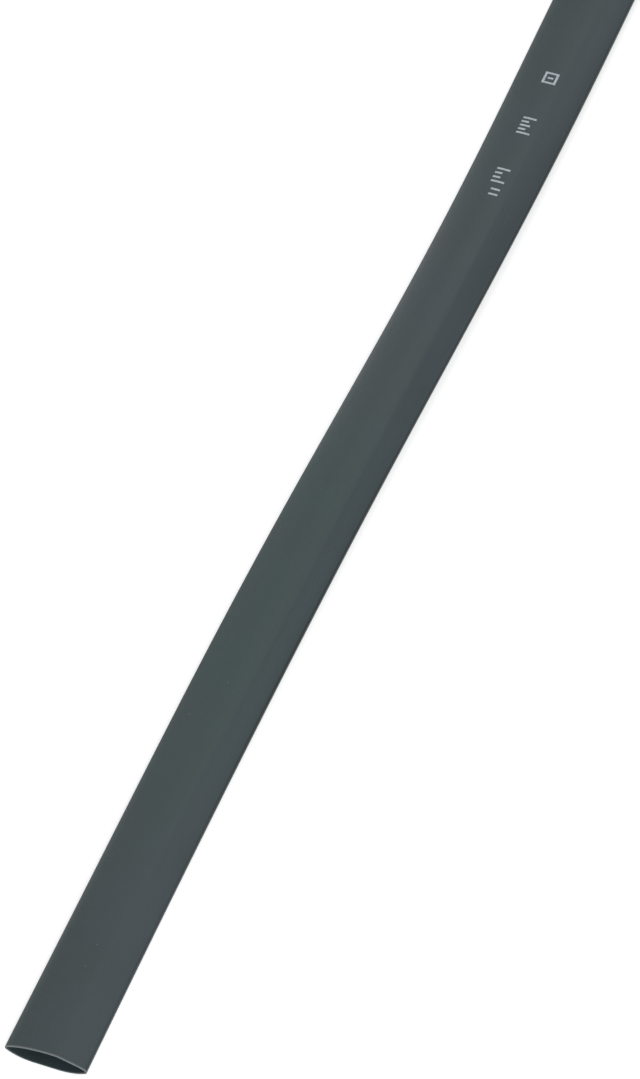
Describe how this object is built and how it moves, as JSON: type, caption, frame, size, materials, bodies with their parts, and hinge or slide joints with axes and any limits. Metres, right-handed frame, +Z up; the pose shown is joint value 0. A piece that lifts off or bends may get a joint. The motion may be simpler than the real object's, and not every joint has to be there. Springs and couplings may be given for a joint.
{
  "type": "heat shrink tube",
  "caption": "Straight length of thin-walled heat shrink tubing, supplied pressed nearly flat, with tight side folds, a lens-shaped bore and square-cut open ends.",
  "frame": {"origin": "middle of the tube's length and width, on the floor that the tube lies on", "axes": "+Y along the tube, from the cut end nearest the camera to the far one; +X to the right across the flat width; +Z up"},
  "size_m": [0.0236, 1.22, 0.0081],
  "materials": {
    "shrink_tube": "satin"
  },
  "bodies": {
    "root": {"shrink_tube": "shrink_tube"}
  },
  "joints": []
}
